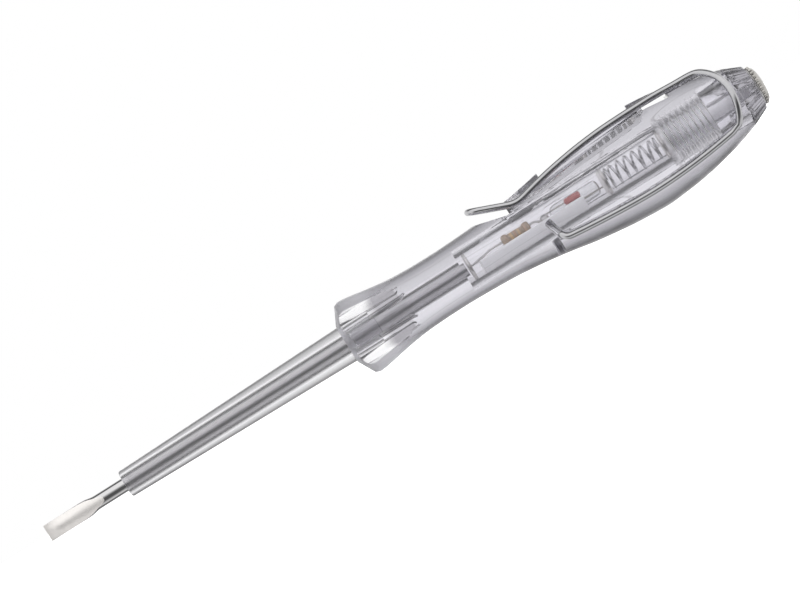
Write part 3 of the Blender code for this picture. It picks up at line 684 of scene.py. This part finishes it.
side_run_angle = math.radians(-36.5)
hook_depth = 0.0032
hook_turn = math.radians(28)
hook_lean = 0.0010
wire_sink = 0.00045
side_run_shares = [0.945, 0.910, 0.860, 0.800, 0.740, 0.680, 0.620, 0.570, 0.530]
hook_share = 0.521
hook_bend = 0.0012
past_hook_bend = 1.1 * hook_bend
arch_shares = [
    (0.963, 0.726), (0.980, 0.547), (0.987, 0.345), (0.988, 0.142), (0.984, -0.075),
    (0.974, -0.303), (0.963, -0.450),
]


def on_flank(x, radius, angle, side):
    return Vector((x, side * radius * math.cos(angle), radius * math.sin(angle)))


def side_run(side):
    """The wire's run along one flank, from the arch to the hook that goes into the handle."""
    points = []
    for share in side_run_shares + [hook_share]:
        x = along(share)
        radius = handle_radius(x) + under_wire - wire_sink
        points.append(on_flank(x, radius, side_run_angle, side))
    end = on_flank(x - hook_lean, radius - hook_depth, side_run_angle + hook_turn, side)
    *run, corner = smooth_line(points, steps=4)
    run = [point for point in run if point.x > corner.x + past_hook_bend]
    return run + rounded(run[-1], corner, end, hook_bend) + [end]


def arch(side):
    """The wire's bow over the rear neck on one side."""
    points = []
    for share, height_share in arch_shares:
        x, high = along(share), height_share * belly
        radius = handle_radius(x) + under_wire
        points.append(Vector((x, side * math.sqrt(radius ** 2 - high ** 2), high)))
    return points


for side in (-1, 1):
    cut(handle, bent_wire("wire_groove", arch(side)[-1:] + side_run(side), wire_radius + wire_gap / 2))

handle_plastic = clear_plastic(
    "handle_plastic", tint=(0.70, 0.69, 0.74), haze=0.03, roughness=0.02, wear=0.04, relief=0.04
)
x, y, z = handle_plastic.place()
flute_skin = 0.00006
flute_axis = flute_floor + flute_radius
off_sideways = y.size() - flute_axis * math.cos(flute_rise)
off_upwards = z.size() - flute_axis * math.sin(flute_rise)
off_axis = (off_sideways ** 2 + off_upwards ** 2) ** 0.5
fluted = (off_axis - flute_radius).size().within(flute_skin, flute_skin / 3)
# Painted shade: the flute floors are tinted grey towards their rear ends.
flute_shade_shares = (0.90, 0.92)
painted_flute_shade = fluted * (x / flute_end).within(*flute_shade_shares)
bore_skin_shares = (1.03, 1.08)
outside_bore = ((y ** 2 + z ** 2) ** 0.5 / plain_bore).within(*bore_skin_shares)
skin = outside_bore * (1 - fluted)
in_thread = x.within(rear_start - press_gap, rear_start) - x.within(thread_end, thread_end + press_gap)
tapped = in_thread * (1 - outside_bore)
tint = handle_plastic.blend(skin, (0.98, 0.978, 0.99, 1), handle_plastic.fed("Base Color"))
crest_from, crest_to = 0.0044, 0.0050
crest_fade_shares = (0.94, 1.04)
crest = z.size().within(crest_from, crest_to) * (1 - (x / flute_end).within(*crest_fade_shares))
chamfer_length = 0.0012
chamfer_blur = 0.0004
chamfer_end = handle_low.x + chamfer_length
chamfer = 1 - x.within(chamfer_end, chamfer_end + chamfer_blur)
frosted = crest.larger(chamfer * (1 - fluted))
handle_plastic.feed(
    base_color=handle_plastic.blend(painted_flute_shade, tint, (0.42, 0.41, 0.44, 1)),
    roughness=handle_plastic.fed("Roughness") + frosted * 0.4 + tapped * 0.35,
)
dress(handle, handle_plastic, "clear_handle", "handle", "handle_body")
handle.visible_shadow = False

# Contact discs
# Three turned discs of nickelled brass that lie in the main bore: one at the rod's tail, and one on each end
# of the contact spring.
nickel = Finish("nickelled_brass", metallic=1.0)
plating = nickel.grain(1.4, 4.0)
nickel.feed(
    base_color=nickel.blend(plating, (0.60, 0.59, 0.57, 1), (0.82, 0.80, 0.77, 1)),
    roughness=0.24 + plating * 0.16, normal=nickel.bump(plating, 0.01),
)
disc_edge = 0.00012
disc_radius = main_bore - 2 * press_gap
for name, body in (("tail_contact", "handle"), ("spring_plate", "handle"), ("spring_seat", "seat")):
    low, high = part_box(name)
    outline = [(low.x, 0), (low.x, disc_radius - disc_edge), (low.x + disc_edge, disc_radius)]
    outline += [(high.x - disc_edge, disc_radius), (high.x, disc_radius - disc_edge), (high.x, 0)]
    disc = turned("nickel_" + name, outline, sides=64, closed=False)
    dress(disc, nickel, "nickel", body, name)

# Component trough
# A half-round channel of milky moulded plastic, pushed into the lower half of the bore. The resistor and the
# lamp lie in it.
low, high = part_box("component_carrier")
carrier_wall = 0.0005
carrier_radius = main_bore - press_gap
carrier_inner = carrier_radius - carrier_wall
carrier_edge = carrier_wall / 3
trough = turned(
    "milky_trough",
    [(low.x, carrier_inner), (low.x, carrier_radius - carrier_edge), (low.x + carrier_edge, carrier_radius),
     (high.x, carrier_radius), (high.x, carrier_inner)],
    sides=64,
)
margin = 2 * carrier_radius
upper_half = [(low.x - margin, 0), (high.x + margin, 0), (high.x + margin, margin), (low.x - margin, margin)]
cut(trough, slab("upper_half", upper_half, 2 * margin))
milky = Finish("milky_plastic")
cloud = milky.grain(0.8, 3.0)
milky.feed(
    base_color=milky.blend(cloud, (0.95, 0.95, 0.96, 1), (0.99, 0.99, 1.0, 1)),
    roughness=0.30 + cloud * 0.15, normal=milky.bump(cloud, 0.01),
)
dress(trough, milky, "milky_plastic", "handle", "component_carrier")

# Series resistor
# A ceramic rod with a pressed cap at each end, lacquered tan all over. Coloured value bands are painted round
# it, over the caps and between them.
core_low, core_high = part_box("resistor_body")
front_low, front_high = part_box("resistor_cap_front")
rear_low, rear_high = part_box("resistor_cap_rear")
resistor_rise = (front_low.z + front_high.z) / 2
cap_radius = (front_high.z - front_low.z) / 2
coat_radius = 0.00075
core_end_radius = 0.8 * coat_radius
bead_waist = 0.5 * coat_radius
bead_steps = 10
bead_roundness = 0.7
band_core_share = 0.7


def bead(front, rear, waist, crown):
    """Outline of a bulge: from the axis over a round crown and back to the axis."""
    points = [(front, 0)]
    for step in range(bead_steps + 1):
        angle = math.pi * step / bead_steps
        x = (front + rear) / 2 - (rear - front) / 2 * math.cos(angle)
        points.append((x, waist + (crown - waist) * math.sin(angle) ** bead_roundness))
    return points + [(rear, 0)]


lacquer = Finish("tan_lacquer", coat_weight=0.5, coat_roughness=0.1)
x = lacquer.place()[0]
speckle = lacquer.grain(3.0, 4.0)
along_body = x.within(front_low.x, rear_high.x)
tan = lacquer.blend(speckle, (0.22, 0.15, 0.09, 1), (0.36, 0.27, 0.18, 1))
for centre_share, width_share, colour in (
    (0.17, 0.040, (0.30, 0.20, 0.13)), (0.34, 0.045, (0.52, 0.33, 0.12)), (0.47, 0.045, (0.36, 0.20, 0.10)),
    (0.60, 0.045, (0.50, 0.34, 0.16)), (0.82, 0.040, (0.44, 0.30, 0.20)),
):
    band = 1 - (along_body - centre_share).size().within(width_share * band_core_share, width_share)
    tan = lacquer.blend(band * 0.9, tan, (*colour, 1))
lacquer.feed(base_color=tan, roughness=0.28 + speckle * 0.15, normal=lacquer.bump(speckle, 0.02))

resistor_core = turned(
    "resistor_core",
    [(core_low.x, 0), (core_low.x, core_end_radius), (front_high.x, coat_radius), (rear_low.x, coat_radius),
     (core_high.x, core_end_radius), (core_high.x, 0)],
    sides=48, closed=False,
)
front_outline = bead(front_low.x, front_high.x + disc_edge, bead_waist, cap_radius)
front_bead = turned("resistor_front_bead", front_outline, sides=48, closed=False)
rear_outline = bead(rear_low.x - disc_edge, rear_high.x, bead_waist, cap_radius)
rear_bead = turned("resistor_rear_bead", rear_outline, sides=48, closed=False)
lifted = Matrix.Translation((0, 0, resistor_rise))
for piece in (resistor_core, front_bead, rear_bead):
    piece.data.transform(lifted)
dress(resistor_core, lacquer, "resistor_coat", "handle", "resistor_body")
dress(front_bead, lacquer, "resistor_cap", "handle", "resistor_cap_front")
dress(rear_bead, lacquer, "resistor_cap", "handle", "resistor_cap_rear")

# Leads and solder
# Tinned copper leads run from the contact disc to the resistor, and from there to the lamp's front wire. A
# blob of solder joins these two.
tinned = Finish("tinned_copper", metallic=1.0)
frost = tinned.grain(2.5, 3.0)
tinned.feed(
    base_color=tinned.blend(frost, (0.55, 0.54, 0.53, 1), (0.80, 0.79, 0.78, 1)),
    roughness=0.22 + frost * 0.2, normal=tinned.bump(frost, 0.02),
)
lead_radius = 0.00022
lead_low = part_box("resistor_lead_front")[0]
lead_foot = Vector((disc_high.x + press_gap, 0, lead_low.z + lead_radius))
resistor_front = Vector((front_low.x, 0, resistor_rise))
foot_bend_share = 0.25
level_share = 0.65
level_start = Vector((lead_foot.lerp(resistor_front, level_share).x, 0, resistor_rise))
lead_end = Vector((front_low.x + disc_edge, 0, resistor_rise))
lead_line = [lead_foot, lead_foot.lerp(resistor_front, foot_bend_share), level_start, lead_end]
front_lead = bent_wire("front_lead", smooth_line(lead_line, steps=6), lead_radius)
dress(front_lead, tinned, "tinned_wire", "handle", "resistor_lead_front")
joint_low, joint_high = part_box("solder_joint")
joint_height = (joint_low.z + joint_high.z) / 2
lead_line = [
    Vector((rear_high.x - disc_edge, 0, resistor_rise)),
    Vector(((rear_high.x + joint_low.x) / 2, 0, resistor_rise)),
    Vector((joint_low.x + disc_edge, 0, joint_height)),
]
rear_lead = bent_wire("rear_lead", smooth_line(lead_line, steps=6), lead_radius)
dress(rear_lead, tinned, "tinned_wire", "handle", "resistor_lead_rear")
blob_radius = (joint_high.z - joint_low.z) / 2
blob_outline = bead(joint_low.x, joint_high.x, lead_radius, blob_radius)
blob = turned("solder_blob", blob_outline, sides=48, closed=False)
blob.data.transform(Matrix.Translation((0, 0, joint_height)))
dress(blob, tinned, "tinned_wire", "handle", "solder_joint")

# Glow lamp
# A small blown glass bulb with a rounded front, and two wires sealed into it. The thick coated ends of these
# wires, the electrodes, glow faintly red.
lamp_low, lamp_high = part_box("lamp_glass")
lamp_radius = lamp_high.z
lamp_wall = 0.00022
lamp_foot = lamp_radius / 2


def capsule(name, wall):
    """The lamp's shape without its outer wall: a round front, a straight side and a rounded foot."""
    dome = arc((lamp_low.x + lamp_radius, 0), lamp_radius - wall, start=174, end=90, steps=12)
    foot = arc((lamp_high.x - lamp_foot, lamp_foot), lamp_foot - wall, start=90, end=0, steps=6)
    outline = [(lamp_low.x + wall, 0), *dome, *foot, (lamp_high.x - wall, 0)]
    return turned(name, outline, sides=64, closed=False)


bulb = capsule("lamp_bulb", 0)
cut(bulb, capsule("lamp_hollow", lamp_wall))
glass = Finish("lamp_glass", ior=1.47, transmission_weight=1.0)
waves = glass.grain(0.7, 2.0)
glass.feed(
    base_color=glass.blend(waves, (0.94, 0.95, 0.95, 1), (0.98, 0.98, 0.98, 1)),
    roughness=0.01 + waves * 0.02, normal=glass.bump(waves, 0.01),
)
dress(bulb, glass, "lamp_glass", "handle", "lamp_glass")
bulb.visible_shadow = False

glow_rod_radius = 0.00055
glow_wire_radius = 0.00016
glow = Finish("glowing_electrode", roughness=0.45, emission_strength=0.12)
x = glow.place()[0]
flicker = glow.grain(1.6, 3.0)
electrode_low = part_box("lamp_electrode_rear")[0]
near_end, far_end = electrode_low.x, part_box("lamp_electrode_front")[1].x
lit = x.within(near_end - lead_radius, near_end) * (1 - x.within(far_end, far_end + lead_radius))
red = glow.blend(flicker, (0.28, 0.025, 0.028, 1), (0.55, 0.09, 0.08, 1))
glow.feed(
    base_color=glow.blend(lit, (0.62, 0.60, 0.57, 1), red),
    emission_color=glow.blend(lit * flicker, (0, 0, 0, 1), (0.85, 0.14, 0.08, 1)),
    metallic=(1 - lit) * 0.9,
)
rod_outline = [
    (near_end, glow_wire_radius), (near_end + lead_radius, glow_rod_radius),
    (far_end - lead_radius, glow_rod_radius), (far_end, glow_wire_radius),
]
electrode_height = -electrode_low.z - glow_wire_radius
for name, height in (
    ("lamp_electrode_front", electrode_height), ("lamp_electrode_rear", -electrode_height),
):
    low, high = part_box(name)
    if low.x < near_end:
        outline = [(low.x, 0), (low.x, glow_wire_radius), *rod_outline, (far_end, 0)]
    else:
        outline = [(near_end, 0), *rod_outline, (high.x, glow_wire_radius), (high.x, 0)]
    electrode = turned("glow_" + name, outline, sides=32, closed=False)
    electrode.data.transform(Matrix.Translation((0, 0, height)))
    dress(electrode, glow, "electrode", "handle", name)

# Contact spring
# A compression spring of drawn steel wire with closed ends. It sits between two contact discs, and the screw
# cap presses it forward against the lamp's.
spring_low, spring_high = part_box("contact_spring")
spring_wire = 0.00022
coil_radius = spring_high.z - spring_wire
open_turns = 6.0
end_turns = 0.75
turn_steps = 28
closed_pitch = 2.05 * spring_wire
closed_length = closed_pitch * end_turns
open_length = spring_high.x - spring_low.x - 2 * spring_wire - 2 * closed_length
all_turns = 2 * end_turns + open_turns
coil = []
for step in range(round(all_turns * turn_steps) + 1):
    turns = step / turn_steps
    first_share = min(turns, end_turns) / end_turns
    open_share = min(max(turns - end_turns, 0), open_turns) / open_turns
    last_share = max(turns - end_turns - open_turns, 0) / end_turns
    x = spring_low.x + spring_wire + closed_length * (first_share + last_share) + open_length * open_share
    angle = math.tau * turns
    coil.append(Vector((x, coil_radius * math.cos(angle), coil_radius * math.sin(angle))))
spring = bent_wire("contact_coil", coil, spring_wire)
spring_steel = Finish("spring_steel", metallic=1.0)
drawn = spring_steel.grain(2.0, 3.0)
spring_steel.feed(
    base_color=spring_steel.blend(drawn, (0.60, 0.60, 0.61, 1), (0.84, 0.84, 0.84, 1)),
    roughness=0.14 + drawn * 0.12, normal=spring_steel.bump(drawn, 0.01),
)
dress(spring, spring_steel, "spring_steel", None, "contact_spring")
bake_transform(spring)

# Screw cap
# One moulded piece of clear plastic: a plug whose frosted thread screws into the handle, and a smoky fluted
# cone to turn it by. It is bored for the contact pin.
cap_front = handle_high.x + press_gap
cap_front_radius = 0.00565
cap_rear_radius = 0.00415
cap_flutes = 18
cap_flute_depth = 0.0002
plug_core = 0.00255
thread_pitch = 0.0010
thread_turns = 7.5
thread_height = 0.00045
thread_lead_in = 0.0006
thread_half_angle = math.radians(30)
thread_steps = 32
pin_radius = 0.0012
ripple_steps = 8


def rippled(name, rings, count, depth, sharpness):
    """A solid with a scalloped edge, lofted along the axis through rings of (place, radius)."""
    corners = count * ripple_steps
    x, radius = rings[0]
    points = []
    for step in range(corners):
        angle = math.tau * step / corners
        dip = depth * abs(math.cos(count * angle / 2)) ** sharpness
        points.append(Vector((x, (radius - dip) * math.sin(angle), (radius - dip) * math.cos(angle))))
    made = draw(name, points)
    bpy.ops.mesh.edge_face_add()
    for next_x, next_radius in rings[1:]:
        bpy.ops.mesh.extrude_region_move(TRANSFORM_OT_translate={"value": (next_x - x, 0, 0)})
        share = next_radius / radius
        bpy.ops.transform.resize(value=(1, share, share), center_override=(next_x, 0, 0))
        x, radius = next_x, next_radius
    return close_up(made, sharp=math.radians(25))


def helix_ridge(name, base, crest, start, turns):
    """A triangular ridge wound right-handed along the axis, from base radius out to crest."""
    foot = (crest - base) * math.tan(thread_half_angle)
    profile = draw(name, [Vector((start - foot, 0, base)), Vector((start, 0, crest)),
                          Vector((start + foot, 0, base))])
    bpy.ops.object.mode_set(mode="OBJECT")
    winding = profile.modifiers.new("winding", "SCREW")
    winding.axis = "X"
    winding.angle = math.tau * turns
    winding.screw_offset = thread_pitch * turns
    winding.steps = winding.render_steps = round(turns * thread_steps)
    winding.use_merge_vertices = False
    bpy.ops.object.modifier_apply(modifier=winding.name)
    bpy.ops.object.mode_set(mode="EDIT")
    bpy.ops.mesh.select_all(action="SELECT")
    bpy.ops.mesh.fill_holes(sides=3)
    return close_up(profile)


cap_edge = 0.00015
cone = rippled(
    "screw_cap",
    [(cap_front, cap_front_radius - cap_edge), (cap_front + cap_edge, cap_front_radius),
     (plug_high.x - cap_edge, cap_rear_radius + cap_edge / 3), (plug_high.x, cap_rear_radius - cap_edge)],
    cap_flutes, cap_flute_depth, sharpness=3.0,
)
plug_body = turned(
    "plug_core",
    [(plug_low.x, 0), (plug_low.x, plug_core - cap_edge), (plug_low.x + cap_edge, plug_core),
     (thread_end, plug_core), (thread_end + press_gap, plain_bore - 2 * press_gap),
     (cap_front + cap_edge, plain_bore - 2 * press_gap), (cap_front + cap_edge, 0)],
    sides=96, closed=False,
)
thread_base = plug_core - cap_edge
thread_crest = plug_core + thread_height
thread_start = plug_low.x + thread_lead_in + (thread_crest - thread_base) * math.tan(thread_half_angle)
ridge = helix_ridge("plug_thread", thread_base, thread_crest, thread_start, thread_turns)
pin_low, pin_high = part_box("contact_pin")
pin_hole = turned(
    "pin_hole",
    [(plug_low.x - overrun, 0), (plug_low.x - overrun, pin_radius + press_gap),
     (plug_high.x + overrun, pin_radius + press_gap), (plug_high.x + overrun, 0)],
    sides=64, closed=False,
)
cut(cone, plug_body, ridge, operation="UNION")
cut(cone, pin_hole)
groove_start = thread_start - thread_pitch
groove_turns = math.ceil((thread_end + thread_pitch - groove_start) / thread_pitch)
groove_crest = thread_crest + 3 * press_gap
cut(handle, helix_ridge("thread_groove", rear_bore - cap_edge, groove_crest, groove_start, groove_turns))
cap_plastic = clear_plastic("cap_plastic", tint=(0.93, 0.925, 0.95), haze=0.03, roughness=0.03)
x = cap_plastic.place()[0]
smoke = x.within(handle_high.x, cap_front + cap_edge)
threaded = 1 - x.within(thread_end, thread_end + press_gap)
cap_plastic.feed(
    base_color=cap_plastic.blend(smoke, cap_plastic.fed("Base Color"), (0.44, 0.43, 0.47, 1)),
    roughness=cap_plastic.fed("Roughness") + threaded * 0.4,
)
dress(cone, cap_plastic, "clear_cap", "cap", "end_cap")
cone.visible_shadow = False

# Contact pin and button
# A tinned pin is pressed through the cap. A domed button of nickelled brass with a toothed rim is pressed on
# its rear end, where the user's finger touches it.
pin_edge = 0.0002
pin = turned(
    "contact_rod",
    [(pin_low.x, 0), (pin_low.x, pin_radius - pin_edge), (pin_low.x + pin_edge, pin_radius),
     (pin_high.x - pin_edge, pin_radius), (pin_high.x, pin_radius - pin_edge), (pin_high.x, 0)],
    sides=64, closed=False,
)
tinning = Finish("dull_tinning", roughness=0.55, metallic=0.1)
cloud = tinning.grain(1.5, 4.0)
tinning.feed(
    base_color=tinning.blend(cloud, (0.88, 0.88, 0.89, 1), (0.97, 0.97, 0.98, 1)),
    normal=tinning.bump(cloud, 0.01),
)
dress(pin, tinning, "nickel", "cap", "contact_pin")
button_low, button_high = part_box("contact_button")
button_radius = button_high.z
face_radius = 0.0012
rim_length = 0.0006
teeth = 30
tooth_depth = 0.00022
rim = rippled(
    "toothed_rim",
    [(button_low.x, button_radius - pin_edge), (button_low.x + pin_edge / 2, button_radius),
     (button_low.x + rim_length - pin_edge / 2, button_radius),
     (button_low.x + rim_length, button_radius - pin_edge)],
    teeth, tooth_depth, sharpness=0.7,
)
crown_start = button_low.x + rim_length / 2
rim_end = button_low.x + rim_length
crown_radius = button_radius - 1.6 * tooth_depth
crown = [(crown_start, 0), (crown_start, crown_radius)]
crown_steps = 14
for step in range(crown_steps + 1):
    share = step / crown_steps
    bulge = math.sqrt(max(1 - (1 - share) ** 2, 0))
    radius = crown_radius + (face_radius - crown_radius) * share
    crown.append((rim_end + (button_high.x - rim_end) * bulge, radius))
crown.append((button_high.x, 0))
cut(rim, turned("button_crown", crown, sides=96, closed=False), operation="UNION")
worn_nickel = Finish("worn_nickel", metallic=1.0)
plating = worn_nickel.grain(1.8, 4.0)
worn_nickel.feed(
    base_color=worn_nickel.blend(plating, (0.40, 0.39, 0.37, 1), (0.62, 0.60, 0.57, 1)),
    roughness=0.12 + plating * 0.16, normal=worn_nickel.bump(plating, 0.01),
)
dress(rim, worn_nickel, "nickel", "cap", "contact_button")

# Pocket clip
# One length of hard drawn spring wire. Its nose is bent up from two legs, which lie in the recess beside the
# rib. Behind it the wire bows out round the neck, runs forward along both flanks and hooks inwards.
rear_leg_spacing = 0.0046
nose_rise = math.radians(22)
nose_leg_length = 0.0082
split_x = 0.1344
nose_steps = 24
nose_bend = 0.0014
past_nose_bend = 1.2 * nose_bend

wire_steel = Finish("drawn_wire", metallic=1.0)
drawn = wire_steel.grain(1.0, 4.0, across=(0.4, 4, 4))
stain = wire_steel.grain(0.5, 3.0)
wire_steel.feed(
    base_color=wire_steel.blend(drawn * 0.6 + stain * 0.4, (0.40, 0.40, 0.42, 1), (0.64, 0.635, 0.64, 1)),
    roughness=0.05 + drawn * 0.07 + stain * 0.03, normal=wire_steel.bump(drawn, 0.004),
)
splay_share = slot_shares[-1][0]
legs = []
for share, height_share in arm_shares:
    opening_share = max(share - splay_share, 0) / (arm_shares[0][0] - splay_share)
    half = (leg_spacing + (rear_leg_spacing - leg_spacing) * opening_share) / 2
    legs.append(Vector((along(share), half, height_share * belly)))
bend_point = legs[-1]
half = leg_spacing / 2
forward = Vector((-math.cos(nose_rise), 0, math.sin(nose_rise)))
nose_centre = Vector((bend_point.x, 0, bend_point.z)) + forward * (nose_leg_length - half)


def full_leg(side):
    """The wire on one side, from the nose's corner back along the recess, over the neck and to the flank."""
    run = [Vector((point.x, side * abs(point.y), point.z)) for point in reversed(legs)]
    return smooth_line(run + arch(side), steps=5)


arm_legs = []
bow_legs = []
for side in (-1, 1):
    leg = full_leg(side)
    split = next(index for index, point in enumerate(leg) if point.x > split_x)
    tip_side = nose_centre + Vector((0, side * half, 0))
    clear_of_bend = [point for point in leg[:split + 1] if leg[0].x + past_nose_bend < point.x]
    arm_legs.append(rounded(tip_side, leg[0], clear_of_bend[0], nose_bend) + clear_of_bend)
    bow_legs.append(leg[split:-1])
nose = []
for step in range(1, nose_steps):
    angle = math.pi * step / nose_steps
    nose.append(nose_centre + forward * half * math.sin(angle) - Vector((0, half * math.cos(angle), 0)))
near_start = nose_centre - Vector((0, half, 0))
far_start = nose_centre + Vector((0, half, 0))
arm_line = [*reversed(arm_legs[0]), near_start, *nose, far_start, *arm_legs[1]]
arm = bent_wire("clip_arm_wire", arm_line, wire_radius, roundness=6)
dress(arm, wire_steel, "clip_wire", None, "clip_arm")
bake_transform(arm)
for side, name, start in ((-1, "clip_bow_near", bow_legs[0]), (1, "clip_bow_far", bow_legs[1])):
    bow = bent_wire("bow_" + name, start + side_run(side), wire_radius, roundness=6)
    dress(bow, wire_steel, "clip_wire", "handle", name)
